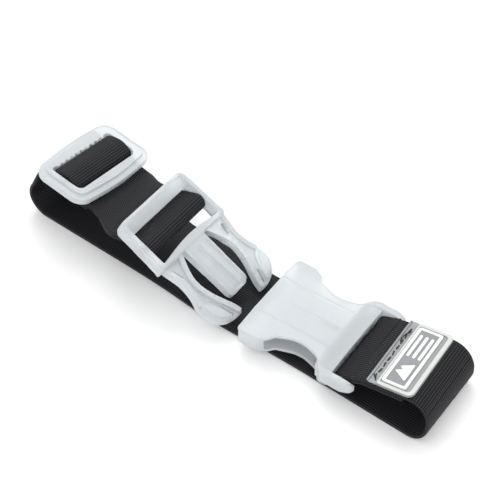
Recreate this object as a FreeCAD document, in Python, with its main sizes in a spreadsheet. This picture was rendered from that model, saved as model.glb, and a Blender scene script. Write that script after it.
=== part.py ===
import FreeCAD, Part
import math
import os
import re

# Luggage strap: a closed loop of ribbed webbing lying on its side, with an adjuster slider, an open
# side-release buckle and a sewn soft label. Millimetres and degrees.
# +X runs along the strap from the slider's fold to the label's fold, +Y across the webbing, +Z up.
# The origin is on the surface the strap lies on, under the middle of the whole object.

SIZES = [
    # webbing
    ("web_width", 38.0, "width of the webbing"),
    ("web_thick", 1.4, "thickness of the webbing"),
    ("layer_gap", 0.05, "air between two layers of webbing"),
    ("run_start", -95.2, "left end of the flat run on the surface"),
    ("run_end", 94.6, "right end of the flat run on the surface"),
    ("left_reach", -104.4, "centreline of the left fold, furthest out"),
    ("left_rise", 12.5, "height at which the left fold leans back over the loop"),
    ("right_reach", 103.7, "centreline of the right fold, furthest out"),
    ("fold_radius", 8.8, "bend radius of both folds"),
    ("run_y", 1.4, "middle of the flat run"),
    # adjuster slider: origin at the back edge of its opening, on the top face
    ("slider_x", -90.0, ""),
    ("slider_y", 3.0, ""),
    ("slider_z", 29.2, ""),
    ("slider_pitch", 10.5, "front end down"),
    ("slider_yaw", 1.2, ""),
    ("slider_roll", -12.2, "far side down"),
    ("slider_thick", 4.0, ""),
    ("slider_back", -6.4, "back edge of the slider"),
    ("slider_front", 23.6, "front edge of the slider"),
    ("slider_half", 24.6, "half the slider's width"),
    ("slider_open_length", 16.4, ""),
    ("slider_open_half", 19.7, ""),
    ("slider_corner", 6.0, "corner radius of the slider"),
    ("slider_back_crown", 1.6, "how far the back edge bows out"),
    ("slider_front_crown", 2.2, "how far the front edge bows out"),
    ("tooth_count", 10, "teeth on the back bar"),
    ("tooth_row_half", 16.5, "half the length of the row of teeth"),
    ("tooth_depth", 0.9, ""),
    ("slider_bar_x", 8.2, "centre bar of the slider"),
    ("slider_bar_z", -4.2, ""),
    ("slider_bar_radius", 1.6, ""),
    ("loop_start", -2.6, "webbing over the centre bar, from the back edge of the opening"),
    ("loop_end", 22.6, ""),
    ("loop_reach", 6.6, "from the centre bar to where the webbing starts to rise over it"),
    ("loop_shoulder", 5.5, "from the centre bar to where it levels off"),
    ("loop_crown", 1.0, "top of the webbing's centreline over the bar"),
    ("loop_drop", 4.7, "top of that webbing under the slider's top face, where it is flat"),
    ("joint_gap", 0.1, "air between webbing on two moving pieces"),
    # plug half of the buckle: origin at the back edge of its frame, on the top face
    ("plug_x", -42.8, ""),
    ("plug_y", -4.6, ""),
    ("plug_z", 36.0, ""),
    ("plug_pitch", 28.0, "nose down"),
    ("plug_yaw", 1.7, ""),
    ("plug_roll", -5.0, "far side down"),
    ("frame_length", 26.5, ""),
    ("frame_thick", 6.2, ""),
    ("frame_back_half", 22.0, "half width at the back bar"),
    ("frame_front_half", 22.9, "half width at the shoulders"),
    ("frame_corner", 4.0, ""),
    ("frame_open_start", 6.8, ""),
    ("frame_open_middle", 21.9, "front edge of the opening on the centreline"),
    ("frame_open_end", 23.2, "front edge of the opening at the rails"),
    ("frame_open_half", 19.5, ""),
    ("back_bar_thick", 5.0, ""),
    ("ladder_x", 14.0, "ladder bar that the webbing turns round"),
    ("ladder_z", -3.4, ""),
    ("ladder_radius", 2.0, ""),
    ("run_reach", 3.0, "how far the webbing runs straight out of the slider and the plug"),
    ("run_bend", 8.0, "bend radius of the upper layer between them"),
    ("upper_leg_x", 0.2, "where the upper layer leaves the plug"),
    ("upper_leg_z", -12.0, ""),
    ("lower_leg_x", 1.2, "where the lower layer leaves the plug"),
    ("lower_leg_z", -13.2, ""),
    ("upper_turn_x", 6.4, "where the upper layer turns under the back bar"),
    ("upper_turn_z", -6.9, ""),
    ("lower_turn_x", 8.0, "where the lower layer turns with it"),
    ("lower_turn_z", -7.6, ""),
    ("tongue_end", 54.0, ""),
    ("tongue_root_half", 6.7, ""),
    ("tongue_tip_half", 6.3, ""),
    ("tongue_top", -0.7, ""),
    ("tongue_thick", 4.2, ""),
    ("arm_gap", 0.75, "room at the root for the arm to bend"),
    ("arm_top", -0.9, ""),
    ("arm_thick", 3.8, ""),
    ("arm_pivot_x", 28.95, "where the arm bends"),
    ("arm_pivot_y", 15.3, ""),
    ("arm_root_radius", 2.4, ""),
    # socket half of the buckle: origin at the middle of its mouth, on the top face
    ("socket_x", 16.5, ""),
    ("socket_y", -0.9, ""),
    ("socket_z", 13.9, ""),
    ("socket_pitch", 0.0, ""),
    ("socket_yaw", 2.8, ""),
    ("socket_roll", -0.9, ""),
    ("socket_thick", 12.0, ""),
    ("socket_wall", 1.8, "thickness of the top and bottom plates"),
    ("mouth_half", 22.9, "half the mouth's width"),
    ("cavity_half", 20.6, ""),
    ("cavity_end", 36.0, ""),
    ("slot_start", 42.9, "front edge of the webbing slot"),
    ("slot_half", 19.4, ""),
    ("socket_bar_x", 46.8, "rear bar that the webbing is sewn round"),
    ("socket_bar_radius", 2.0, ""),
    ("ear_half", 22.8, ""),
    ("window_half", 13.6, "half width of the plates between the side windows"),
    ("rib_start", 27.6, "rib between the plates behind the tongue"),
    ("rib_thick", 2.6, ""),
    # label, sewn on the top run: origin at the middle of its left edge, on the webbing
    ("crest_x", 74.5, ""),
    ("crest_y", 1.4, ""),
    ("crest_z", 16.9, ""),
    ("crest_pitch", -8.5, "far end of the label up"),
    ("crest_yaw", 5.7, ""),
    ("crest_roll", -4.5, "far side down"),
    ("label_length", 18.2, ""),
    ("label_width", 37.4, ""),
    ("label_thick", 1.2, ""),
    ("label_corner", 3.0, ""),
    ("label_hem", 4.2, "sewn strip of the label"),
    ("border_inset", 1.0, "clear edge outside the white border"),
    ("border_width", 1.2, ""),
    ("loop_rise", 25.0, "angle at which the webbing leaves the socket's bar"),
    ("loop_x", 49.6, "upper end of the loop round that bar, from the mouth of the socket"),
    ("level_start", -0.8, "where the top run is level with the label, from the label's left edge"),
    ("level_end", 18.6, ""),
    ("tail_end", 16.0, "folded end of the webbing under the label"),
    ("tail_gap", 0.35, "air between the label's run and that folded end"),
    ("thread", 0.5, "diameter of the sewing thread"),
    ("stitch_count", 9, "stitches in the label's hem"),
    ("stitch_share", 0.72, "how much of a stitch's pitch its thread covers"),
    ("seam_half", 16.3, "half the seam's length"),
]

V = FreeCAD.Vector

doc = FreeCAD.newDocument("LuggageStrap")
sheet = doc.addObject("Spreadsheet::Sheet", "Sizes")
for row, (alias, value, note) in enumerate(SIZES, 1):
    sheet.set(f"A{row}", alias)
    sheet.set(f"B{row}", str(value))
    sheet.setAlias(f"B{row}", alias)
    sheet.set(f"C{row}", note)
doc.recompute()


def size(alias):
    return float(getattr(sheet, alias))


def bind(obj, **properties):
    """Ties properties to the sheet: every alias in an expression is read from it."""
    names = {alias for alias, _, _ in SIZES}
    for name, text in properties.items():
        found = re.sub(r"[a-z_]+", lambda m: "Sizes." + m[0] if m[0] in names else m[0], text)
        obj.setExpression(name.replace("__", "."), found)
    return obj


def place(obj, part):
    """Puts a piece in the frame of slider, plug, socket or crest; the surface's is the document's."""
    if part:
        base = f"vector({part}_x; {part}_y; {part}_z)"
        turn = f"rotation({part}_yaw; {part}_pitch; {part}_roll)"
        bind(obj, Placement=f"placement({base}; {turn})")
    return obj


def frame_of(part):
    if not part:
        return FreeCAD.Placement(V(0, size("run_y"), 0), FreeCAD.Rotation())
    base = V(*(size(f"{part}_{axis}") for axis in "xyz"))
    turn = FreeCAD.Rotation(size(f"{part}_yaw"), size(f"{part}_pitch"), size(f"{part}_roll"))
    return FreeCAD.Placement(base, turn)


# ---- outlines -----------------------------------------------------------------------------------


def fillet(before, corner, after, radius):
    """Where a corner's arc starts and ends, its centre and whether it turns left."""
    back, ahead = (before - corner).normalize(), (after - corner).normalize()
    half = back.getAngle(ahead) / 2
    reach = radius / math.tan(half)
    centre = corner + (back + ahead).normalize() * (radius / math.sin(half))
    turn = (corner - before).cross(after - corner).z
    return corner + back * reach, corner + ahead * reach, centre, turn > 0


def arc(centre, radius, start, end, left):
    """The arc from start to end round centre, turning left or right."""
    first, last = (start, end) if left else (end, start)
    angles = [math.atan2(p.y - centre.y, p.x - centre.x) for p in (first, last)]
    if angles[1] <= angles[0]:
        angles[1] += 2 * math.pi
    return Part.ArcOfCircle(Part.Circle(centre, V(0, 0, 1), radius), *angles)


def outline(*corners):
    """A closed outline. Each corner is (x, y) or (x, y, radius); no radius means as round as fits."""
    points = [V(c[0], c[1], 0) for c in corners]
    count = len(points)
    shapes, ends = [], []
    for i, corner in enumerate(corners):
        before, point, after = points[i - 1], points[i], points[(i + 1) % count]
        radius = corner[2] if len(corner) > 2 else None
        if radius is None:
            turn = (point - before).getAngle(after - point)
            reach = 0.45 * min((point - before).Length, (after - point).Length)
            radius = reach / math.tan(turn / 2)
        if radius == 0:
            ends.append((point, point))
            continue
        start, end, centre, left = fillet(before, point, after, radius)
        shapes.append(arc(centre, radius, start, end, left))
        ends.append((start, end))
    for i in range(count):
        start, end = ends[i][1], ends[(i + 1) % count][0]
        if (end - start).Length > 1e-6:
            shapes.append(Part.LineSegment(start, end))
    return shapes


def rectangle(x0, x1, half, corner=0):
    return outline((x0, -half, corner), (x1, -half, corner), (x1, half, corner), (x0, half, corner))


class Path:
    """A webbing centreline in a side view: straight stretches joined by arcs."""

    def __init__(self, *posts):
        """Posts are (x, z) at the ends, (x, z, radius) at a bend, and (x, z, radius, left) at a bar
        that the webbing goes round, turning left or right."""
        points = [V(post[0], post[1], 0) for post in posts]
        leaves, meets = list(points), list(points)
        for i, post in enumerate(posts):
            if len(post) == 4:
                side = 1 if post[3] else -1
                meets[i] = self.tangent(points[i], post[2], points[i - 1], side)
                leaves[i] = self.tangent(points[i], post[2], points[i + 1], -side)
        self.parts = []
        at = points[0]
        for i in range(1, len(posts)):
            if len(posts[i]) == 4:
                turn = meets[i], leaves[i], points[i], posts[i][2], posts[i][3]
            elif i < len(posts) - 1:
                start, end, centre, left = fillet(leaves[i - 1], points[i], meets[i + 1], posts[i][2])
                turn = start, end, centre, posts[i][2], left
            else:
                turn = [points[i]]
            if (turn[0] - at).Length > 1e-6:
                self.parts.append(("line", at, turn[0]))
            if len(turn) > 1:
                self.parts.append(("arc", *turn))
                at = turn[1]

    @staticmethod
    def tangent(centre, radius, point, side):
        away = point - centre
        angle = math.atan2(away.y, away.x) + side * math.acos(radius / away.Length)
        return centre + V(math.cos(angle), math.sin(angle), 0) * radius

    def band(self, thick):
        """The closed outline of a band of this thickness about the centreline."""
        shapes, caps = [], []
        for side in (1, -1):
            edge = side * thick / 2
            for part in self.parts:
                if part[0] == "line":
                    run = (part[2] - part[1]).normalize()
                    off = V(-run.y, run.x, 0) * edge
                    start, end = part[1] + off, part[2] + off
                    shapes.append(Part.LineSegment(start, end))
                else:
                    _, first, last, centre, radius, left = part
                    grown = radius - edge if left else radius + edge
                    start = centre + (first - centre) * (grown / radius)
                    end = centre + (last - centre) * (grown / radius)
                    shapes.append(arc(centre, grown, start, end, left))
                if part is self.parts[0]:
                    caps.append(start)
                if part is self.parts[-1]:
                    caps.append(end)
        shapes.append(Part.LineSegment(caps[0], caps[2]))
        shapes.append(Part.LineSegment(caps[1], caps[3]))
        return shapes

    def stations(self, step):
        """(share of the length, point, direction) along the centreline."""
        found = []
        for part in self.parts:
            if part[0] == "line":
                run = (part[2] - part[1]).normalize()
                found += [(part[1], run), (part[2], run)]
                continue
            _, first, last, centre, radius, left = part
            shape = arc(centre, radius, first, last, left).toShape()
            count = max(2, math.ceil(shape.Length / step))
            start = math.atan2(first.y - centre.y, first.x - centre.x)
            sweep = shape.Length / radius * (1 if left else -1)
            for i in range(count + 1):
                angle = start + sweep * i / count
                spoke = V(math.cos(angle), math.sin(angle), 0)
                run = V(-spoke.y, spoke.x, 0) * (1 if left else -1)
                found.append((centre + spoke * radius, run))
        kept = [found[0]]
        for point, run in found[1:]:
            if (point - kept[-1][0]).Length > 1e-4:
                kept.append((point, run))
        lengths = [0.0]
        for (a, _), (b, _) in zip(kept, kept[1:]):
            lengths.append(lengths[-1] + (b - a).Length)
        return [(s / lengths[-1], p, d) for s, (p, d) in zip(lengths, kept)]


# ---- solids -------------------------------------------------------------------------------------


def new_body(name):
    return doc.addObject("PartDesign::Body", name)


def sketch(body, name, plane, shapes, lift="0"):
    found = body.newObject("Sketcher::SketchObject", name)
    support = next(f for f in body.Origin.OriginFeatures if f.Role == plane)
    found.AttachmentSupport = [(support, "")]
    found.MapMode = "FlatFace"
    bind(found, AttachmentOffset__Base__z=lift)
    found.addGeometry(shapes, False)
    return found


def pad(body, name, plane, shapes, length, lift="0", both=False):
    """A plate whose lower face is at lift, or, with both, one that is centred on the plane."""
    feature = body.newObject("PartDesign::Pad", name)
    feature.Profile = sketch(body, name + "_outline", plane, shapes, lift)
    bind(feature, Length=length)
    if both:
        feature.SideType = "Symmetric"
    body.Tip = feature
    return feature


def pocket(body, name, plane, shapes, length, lift="0"):
    """Cuts upwards from lift."""
    feature = body.newObject("PartDesign::Pocket", name)
    feature.Profile = sketch(body, name + "_outline", plane, shapes, lift)
    feature.Reversed = True
    bind(feature, Length=length)
    body.Tip = feature
    return feature


def box(name, length, width, height, x, y, z):
    found = doc.addObject("Part::Box", name)
    return bind(
        found,
        Length=length,
        Width=width,
        Height=height,
        Placement__Base__x=x,
        Placement__Base__y=y,
        Placement__Base__z=z,
    )


def bar(name, radius, half, x, z):
    """A round bar across the strap."""
    found = doc.addObject("Part::Cylinder", name)
    found.Placement.Rotation = FreeCAD.Rotation(V(1, 0, 0), -90)
    return bind(
        found,
        Radius=radius,
        Height=f"2 * ({half})",
        Placement__Base__x=x,
        Placement__Base__y=f"-({half})",
        Placement__Base__z=z,
    )


def fuse(name, *shapes):
    found = doc.addObject("Part::MultiFuse", name)
    found.Shapes = list(shapes)
    found.Refine = True
    return found


def cut(name, base, *tools):
    found = doc.addObject("Part::Cut", name)
    found.Base = base
    found.Tool = tools[0] if len(tools) == 1 else fuse(name + "_tools", *tools)
    return found


def band(name, path, part):
    """A stretch of webbing whose side view is path, in the frame of part."""
    body = new_body(name)
    pad(body, name + "_band", "XZ_Plane", path.band(size("web_thick")), "web_width", both=True)
    return place(body, part)


def twist_of(part):
    """Where a frame stands and how it is turned, apart from its pitch, which a path already has."""
    frame = frame_of(part)
    pitch = FreeCAD.Rotation(V(0, 1, 0), size(f"{part}_pitch") if part else 0)
    return frame.Base, frame.Rotation.multiply(pitch.inverted())


def span(name, path, start_part, end_part, step=2.2):
    """Webbing that runs along path, a side view of the whole strap, and twists from frame to frame."""
    (first, first_turn), (last, last_turn) = twist_of(start_part), twist_of(end_part)
    sections = []
    for i, (share, point, run) in enumerate(path.stations(step)):
        share = share * share * (3 - 2 * share)
        here, up = V(point.x, 0, point.y), V(-run.y, 0, run.x)
        starts = first + first_turn.multVec(here - V(first.x, 0, first.z))
        ends = last + last_turn.multVec(here - V(last.x, 0, last.z))
        turn = first_turn.slerp(last_turn, share)
        up, side = turn.multVec(up), turn.multVec(V(0, 1, 0))
        corner = starts * (1 - share) + ends * share
        corner = corner - up * (size("web_thick") / 2) - side * (size("web_width") / 2)
        plane = doc.addObject("Part::Plane", f"{name}_section_{i + 1}")
        bind(plane, Length="web_thick", Width="web_width")
        plane.Placement = FreeCAD.Placement(corner, FreeCAD.Rotation(up, side, up.cross(side), "ZXY"))
        sections.append(plane)
    found = doc.addObject("Part::Loft", name)
    found.Sections = sections
    found.Solid = True
    found.Ruled = True
    return found


def side_view(part, x, z):
    """A point of a piece's own side view, in the side view of the whole strap."""
    angle = math.radians(size(f"{part}_pitch"))
    along = x * math.cos(angle) + z * math.sin(angle)
    up = z * math.cos(angle) - x * math.sin(angle)
    return V(size(f"{part}_x") + along, size(f"{part}_z") + up, 0)


# ---- adjuster slider ----------------------------------------------------------------------------


def slider_frame():
    body = new_body("slider_plate")
    back, front, half = size("slider_back"), size("slider_front"), size("slider_half")
    corner = size("slider_corner")
    back_side, front_side = back + size("slider_back_crown"), front - size("slider_front_crown")
    edge = outline(
        (back_side, -half, corner),
        (front_side, -half, corner),
        (front, 0),
        (front_side, half, corner),
        (back_side, half, corner),
        (back, 0),
    )
    pad(body, "slider_edge", "XY_Plane", edge, "slider_thick", "-slider_thick")
    opening, inner = size("slider_open_length"), size("slider_open_half")
    count, row = int(size("tooth_count")), size("tooth_row_half")
    pitch = 2 * row / count
    teeth = []
    for i in range(count):
        start = row - i * pitch
        teeth += [(0, start, 0), (size("tooth_depth"), start - pitch / 2, 0)]
    corners = [(0, -inner, 1.2), (opening, -inner, 2.5), (opening, inner, 2.5), (0, inner, 1.2)]
    window = outline(*corners, *teeth, (0, -row, 0))
    pocket(body, "slider_window", "XY_Plane", window, "slider_thick + 2", "-slider_thick - 1")
    half = "slider_open_half + 1.5"
    centre = bar("slider_centre_bar", "slider_bar_radius", half, "slider_bar_x", "slider_bar_z")
    return place(fuse("slider_frame", body, centre), "slider")


def slider_loops():
    """The strap over the centre bar, and its far end sewn round the bar under it."""
    bar_x, bar_z = size("slider_bar_x"), size("slider_bar_z")
    thick, gap = size("web_thick"), size("layer_gap")
    under = size("slider_bar_radius") + gap + thick / 2
    low = -size("loop_drop") - thick / 2
    lower, lowest = low - thick - gap, low - 2 * (thick + gap)
    start, end = size("loop_start"), size("loop_end")
    foot, shoulder, crown = size("loop_reach"), size("loop_shoulder"), size("loop_crown")
    rises = [(bar_x - foot, low, 0.9), (bar_x - shoulder, crown - 2.4, 2.0), (bar_x, crown, 9)]
    drops = [(2 * bar_x - x, z, radius) for x, z, radius in reversed(rises[:2])]
    through = Path((start, low), *rises, *drops, (end, low))
    turn, fold = (bar_x + foot - 0.7, lower, 1.5), (bar_x + 5.8, lowest, 4)
    anchor = Path((end, lower), turn, (bar_x, bar_z, under, True), fold, (end - 1.6, lowest))
    return [
        band("webbing_slider_loop", through, "slider"),
        band("webbing_anchor_loop", anchor, "slider"),
    ]


# ---- plug half of the buckle --------------------------------------------------------------------


def plug_frame():
    """Frame, ladder bar and tongue, moulded as one."""
    body = new_body("plug_body")
    back, front, length = size("frame_back_half"), size("frame_front_half"), size("frame_length")
    corner = size("frame_corner")
    edge = outline((0, -back, corner), (length, -front, 0.6), (length, front, 0.6), (0, back, corner))
    pad(body, "frame_edge", "XY_Plane", edge, "frame_thick", "-frame_thick")
    root, tip, end = size("tongue_root_half"), size("tongue_tip_half"), size("tongue_end")
    tongue = outline((length - 3, -root, 0), (end, -tip, 1.8), (end, tip, 1.8), (length - 3, root, 0))
    pad(body, "tongue_edge", "XY_Plane", tongue, "tongue_thick", "tongue_top - tongue_thick")
    start, middle = size("frame_open_start"), size("frame_open_middle")
    sides, inner = size("frame_open_end"), size("frame_open_half")
    back = [(start, inner, 1), (start, -inner, 1)]
    window = outline(*back, (sides, -inner, 0.8), (middle, 0), (sides, inner, 0.8))
    pocket(body, "frame_window", "XY_Plane", window, "frame_thick + 2", "-frame_thick - 1")
    relief = rectangle(-1, start + 0.5, inner)
    depth = "frame_thick - back_bar_thick"
    pocket(body, "back_bar_relief", "XY_Plane", relief, depth, "-frame_thick")
    ladder = bar("ladder_bar", "ladder_radius", "frame_open_half + 1", "ladder_x", "ladder_z")
    return place(fuse("plug_frame", body, ladder), "plug")


def latch_arm(name, side):
    """A latch arm: a curved blade with a head that catches in the socket's side window."""
    start = size("frame_length") + size("arm_gap")
    corners = [
        (start, 9.0, 0.5),
        (33.5, 12.2),
        (39.5, 13.6),
        (46.5, 12.4),
        (52.5, 9.9),
        (57.0, 8.0),
        (61.2, 7.2, 0.8),
        (61.4, 11.0),
        (60.4, 16.2),
        (57.4, 20.6),
        (52.4, 23.0),
        (47.4, 22.8),
        (43.0, 20.6),
        (36.0, 19.6),
        (start, 21.4, 0.5),
    ]
    inner_line, outer_line = [(34.0, 16.2, 0.3), (34.0, 17.2, 0.3)], [(start + 1.6, 19.2, 0.3)]
    root_slot = [(start + 1.6, 17.6, 0.3), *inner_line, *outer_line]
    head_slot = [(53.4, 13.2, 0.4), (59.2, 11.2, 0.4), (59.5, 12.2, 0.4), (53.8, 14.3, 0.4)]
    body = new_body(name + "_blade")
    outlines = (("blade", corners), ("root_slot", root_slot), ("head_slot", head_slot))
    for cut_name, points in outlines:
        shapes = outline(*((p[0], p[1] * side, *p[2:]) for p in points))
        if cut_name == "blade":
            pad(body, f"{name}_edge", "XY_Plane", shapes, "arm_thick", "arm_top - arm_thick")
        else:
            depth, low = "arm_thick + 2", "arm_top - arm_thick - 1"
            pocket(body, f"{name}_{cut_name}", "XY_Plane", shapes, depth, low)
    root = doc.addObject("Part::Cylinder", name + "_root")
    bind(
        root,
        Radius="arm_root_radius",
        Height="arm_thick",
        Placement__Base__x="arm_pivot_x",
        Placement__Base__y="arm_pivot_y" if side > 0 else "-arm_pivot_y",
        Placement__Base__z="arm_top - arm_thick",
    )
    return place(fuse(name, body, root), "plug")


def plug_loop():
    """The strap round the ladder bar, with the start of both its layers."""
    radius = size("ladder_radius") + size("layer_gap") + size("web_thick") / 2
    path = Path(
        (size("upper_leg_x"), size("upper_leg_z")),
        (size("upper_turn_x"), size("upper_turn_z"), 4),
        (size("ladder_x"), size("ladder_z"), radius, False),
        (size("lower_turn_x"), size("lower_turn_z"), 4),
        (size("lower_leg_x"), size("lower_leg_z")),
    )
    return band("webbing_plug_loop", path, "plug")


# ---- socket half of the buckle ------------------------------------------------------------------


def socket_shell():
    """A flat box, open at the mouth and both sides, with two ears and a bar between them."""
    mouth, thick = size("mouth_half"), size("socket_thick")
    bar_x, ear = size("socket_bar_x"), size("ear_half")
    end = bar_x + thick / 2
    window_y = size("window_half")
    side = [(0, mouth, 1.2), (9.5, mouth, 3), (13.5, window_y + 6.8, 1), (15.6, window_y + 3.8, 1.2)]
    side += [(25.5, window_y), (35.0, window_y + 3, 6)]
    side += [(39.0, ear, 5), (bar_x + 1, ear, 5), (end, ear - 4.4, 2)]
    body = new_body("socket_plan")
    edge = outline(*side, *((p[0], -p[1], *p[2:]) for p in reversed(side)))
    pad(body, "socket_edge", "XY_Plane", edge, "socket_thick", "-socket_thick")
    profile = new_body("socket_profile")
    round_end = thick / 2 - 1e-3
    shapes = outline((0, 0, 0.5), (end, 0, round_end), (end, -thick, round_end), (0, -thick, 0.5))
    pad(profile, "socket_side", "XZ_Plane", shapes, "2 * mouth_half + 2", both=True)
    shell = doc.addObject("Part::Common", "socket_blank")
    shell.Base, shell.Tool = body, profile
    cavity = box(
        "socket_cavity",
        "cavity_end + 1",
        "2 * cavity_half",
        "socket_thick - 2 * socket_wall",
        "-1",
        "-cavity_half",
        "socket_wall - socket_thick",
    )
    slot = box(
        "socket_slot",
        "socket_bar_x + socket_thick - slot_start",
        "2 * slot_half",
        "socket_thick + 2",
        "slot_start",
        "-slot_half",
        "-socket_thick - 1",
    )
    hollow = cut("socket_hollow", shell, cavity, slot)
    rear = bar("socket_bar", "socket_bar_radius", "slot_half + 1", "socket_bar_x", "-socket_thick / 2")
    rib = box(
        "socket_rib",
        "slot_start - rib_start - 1",
        "rib_thick",
        "socket_thick - socket_wall",
        "rib_start",
        "-rib_thick / 2",
        "socket_wall / 2 - socket_thick",
    )
    return place(fuse("socket_shell", hollow, rear, rib), "socket")


def loop_ends():
    """Both ends of the loop round the socket's rear bar, upper first, and their direction."""
    thick, gap = size("web_thick"), size("layer_gap")
    angle = math.radians(size("loop_rise"))
    ahead, up = V(math.cos(angle), math.sin(angle), 0), V(-math.sin(angle), math.cos(angle), 0)
    radius = size("socket_bar_radius") + gap + thick / 2
    along = size("loop_x") - size("socket_bar_x")
    height = (radius + along * ahead.y) / ahead.x - size("socket_thick") / 2
    upper = V(size("loop_x"), height, 0)
    return (upper, upper - up * (thick + gap)), ahead, radius


def socket_loop():
    (upper, lower), ahead, radius = loop_ends()
    bend = lower - ahead * 1.2
    wrap = (size("socket_bar_x"), -size("socket_thick") / 2, radius, True)
    path = Path((upper.x, upper.y), wrap, (bend.x, bend.y, 2), (lower.x, lower.y))
    return band("webbing_socket_loop", path, "socket")


def top_runs():
    """The top run of webbing and, under it, its folded end: first twisting, then flat for the label."""
    leaves, ahead, _ = loop_ends()
    level, reach = -size("web_thick") / 2, size("run_reach")
    found = []
    tail_drop = size("web_thick") + size("tail_gap")
    for first, flat, end, under, leave in (
        ("webbing_top_run", "webbing_label_run", size("level_end"), 0, leaves[0]),
        ("webbing_tail", "webbing_tail_end", size("tail_end"), tail_drop, leaves[1]),
    ):
        corner = leave + ahead * reach
        start, turn = side_view("socket", leave.x, leave.y), side_view("socket", corner.x, corner.y)
        bend = side_view("crest", size("level_start") - reach, level - under)
        arrive = side_view("crest", size("level_start"), level - under)
        corners = (turn.x, turn.y, 8 - under), (bend.x, bend.y, 8 - under)
        path = Path((start.x, start.y), *corners, (arrive.x, arrive.y))
        found.append(span(first, path, "socket", "crest"))
        straight = Path((size("level_start"), level - under), (end, level - under))
        found.append(band(flat, straight, "crest"))
    return found


# ---- webbing between the pieces -----------------------------------------------------------------


def bottom_run():
    length, start, side = "run_end - run_start", "run_start", "run_y - web_width / 2"
    return box("webbing_bottom_run", length, "web_width", "web_thick", start, side, "0")


def folds():
    """The two folds of the loop, and the webbing that leads into the slider."""
    mid, bend = size("web_thick") / 2, size("fold_radius")
    out, lean = size("left_reach") + mid, size("left_rise")
    low, gap = -size("loop_drop") - mid, size("joint_gap")
    entry = side_view("slider", size("loop_start") - gap, low)
    turn = side_view("slider", size("loop_start") - 3, low)
    lean_at = V(out - 0.3, lean, 0)
    parted = lean_at * 0.7 + turn * 0.3
    corners = (out, mid, bend), (lean_at.x, lean_at.y, 12)
    left = Path((size("run_start"), mid), *corners, (parted.x, parted.y))
    lead = Path((parted.x, parted.y), (turn.x, turn.y, 2.5), (entry.x, entry.y))
    angle = -math.radians(size("crest_pitch"))
    top = side_view("crest", size("level_end"), -mid)
    reach = size("right_reach")
    shoulder = top.y + (reach - top.x) * math.tan(angle)
    corners = (reach, shoulder, bend), (reach, mid, bend)
    right = Path((top.x, top.y), *corners, (size("run_end"), mid))
    return [
        span("webbing_left_fold", left, "", ""),
        span("webbing_lead_in", lead, "", "slider"),
        span("webbing_right_fold", right, "crest", ""),
    ]


def adjuster_runs():
    """The two layers between the slider and the plug."""
    top, gap = -size("loop_drop") - size("web_thick") / 2, size("joint_gap")
    layer = size("web_thick") + size("layer_gap")
    start, reach, bend = size("loop_end") + gap, size("run_reach"), size("run_bend")
    found = []
    for name, under in (("upper", 0), ("lower", layer)):
        leg_x, leg_z = size(f"{name}_leg_x"), size(f"{name}_leg_z")
        slope = math.atan2(size(f"{name}_turn_z") - leg_z, size(f"{name}_turn_x") - leg_x)
        leave = reach + under / 4
        ends = [(leg_x - r * math.cos(slope), leg_z - r * math.sin(slope)) for r in (reach, gap)]
        points = [side_view("slider", x, top - under) for x in (start, start + leave)]
        points += [side_view("plug", *end) for end in ends]
        posts = [(p.x, p.y) for p in points]
        posts[1] += (bend + under,)
        posts[2] += (bend - under,)
        found.append(span(f"webbing_{name}_run", Path(*posts), "slider", "plug", 3.0))
    return found


# ---- label and stitching ------------------------------------------------------------------------


def label():
    """Clear base with its sewn hem, grey field, and white border with a plain mark."""
    length, half = size("label_length"), size("label_width") / 2
    hem, corner = size("label_hem"), size("label_corner")
    sewn = new_body("label_hem_strip")
    strip = outline((0, -half, 1.5), (hem, -half, 0), (hem, half, 0), (0, half, 1.5))
    pad(sewn, "hem_edge", "XY_Plane", strip, "label_thick / 2")
    base = new_body("label_base")
    flap = outline((hem, -half, 0), (length, -half, corner), (length, half, corner), (hem, half, 0))
    pad(base, "base_edge", "XY_Plane", flap, "label_thick")
    inset, rim = size("border_inset"), size("border_width")
    outer = (hem + inset, length - 1.8 * inset, half - 2 * inset)
    field = new_body("label_field")
    inner = (outer[0] + rim, outer[1] - rim, outer[2] - rim)
    pad(field, "field_edge", "XY_Plane", rectangle(*inner, 0.4), "0.2", "label_thick")
    border = new_body("label_border")
    rims = rectangle(*outer, 0.8) + rectangle(*inner, 0.4)
    pad(border, "border_edge", "XY_Plane", rims, "0.5", "label_thick")
    mark = new_body("label_mark")
    middle = (inner[0] + inner[1]) / 2
    peaks = outline(
        (middle + 3.0, -12.0, 0.3),
        (middle - 3.2, -8.6, 0.3),
        (middle - 0.4, -7.2, 0.3),
        (middle - 2.2, -5.8, 0.3),
        (middle + 3.0, -2.6, 0.3),
    )
    bars = []
    for x in (middle - 2.6, middle, middle + 2.6):
        low, high, near, far = x - 0.6, x + 0.6, -0.2, 12.2
        bars += outline((low, near, 0.5), (high, near, 0.5), (high, far, 0.5), (low, far, 0.5))
    pad(mark, "mark_edge", "XY_Plane", peaks + bars, "0.3", "label_thick + 0.2")
    return [place(body, "crest") for body in (sewn, base, field, border, mark)]


def label_stitches():
    """A row of raised stitches along the middle of the hem."""
    count = int(size("stitch_count"))
    group = doc.addObject("Part::Compound", "label_stitches")
    for i in range(count):
        stitch = box(
            f"label_stitch_{i + 1}",
            "thread",
            "stitch_share * 2 * seam_half / stitch_count",
            "thread",
            "label_hem / 2 - thread / 2",
            f"seam_half * (2 * ({i} + (1 - stitch_share) / 2) / stitch_count - 1)",
            "label_thick / 2",
        )
        group.Links += [stitch]
    return place(group, "crest")


PIECES = [slider_frame(), *slider_loops(), plug_frame()]
PIECES += [latch_arm("left_latch_arm", 1), latch_arm("right_latch_arm", -1), plug_loop()]
PIECES += [socket_shell(), socket_loop(), *top_runs(), bottom_run(), *folds(), *adjuster_runs(), *label()]
PIECES += [label_stitches()]


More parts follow.
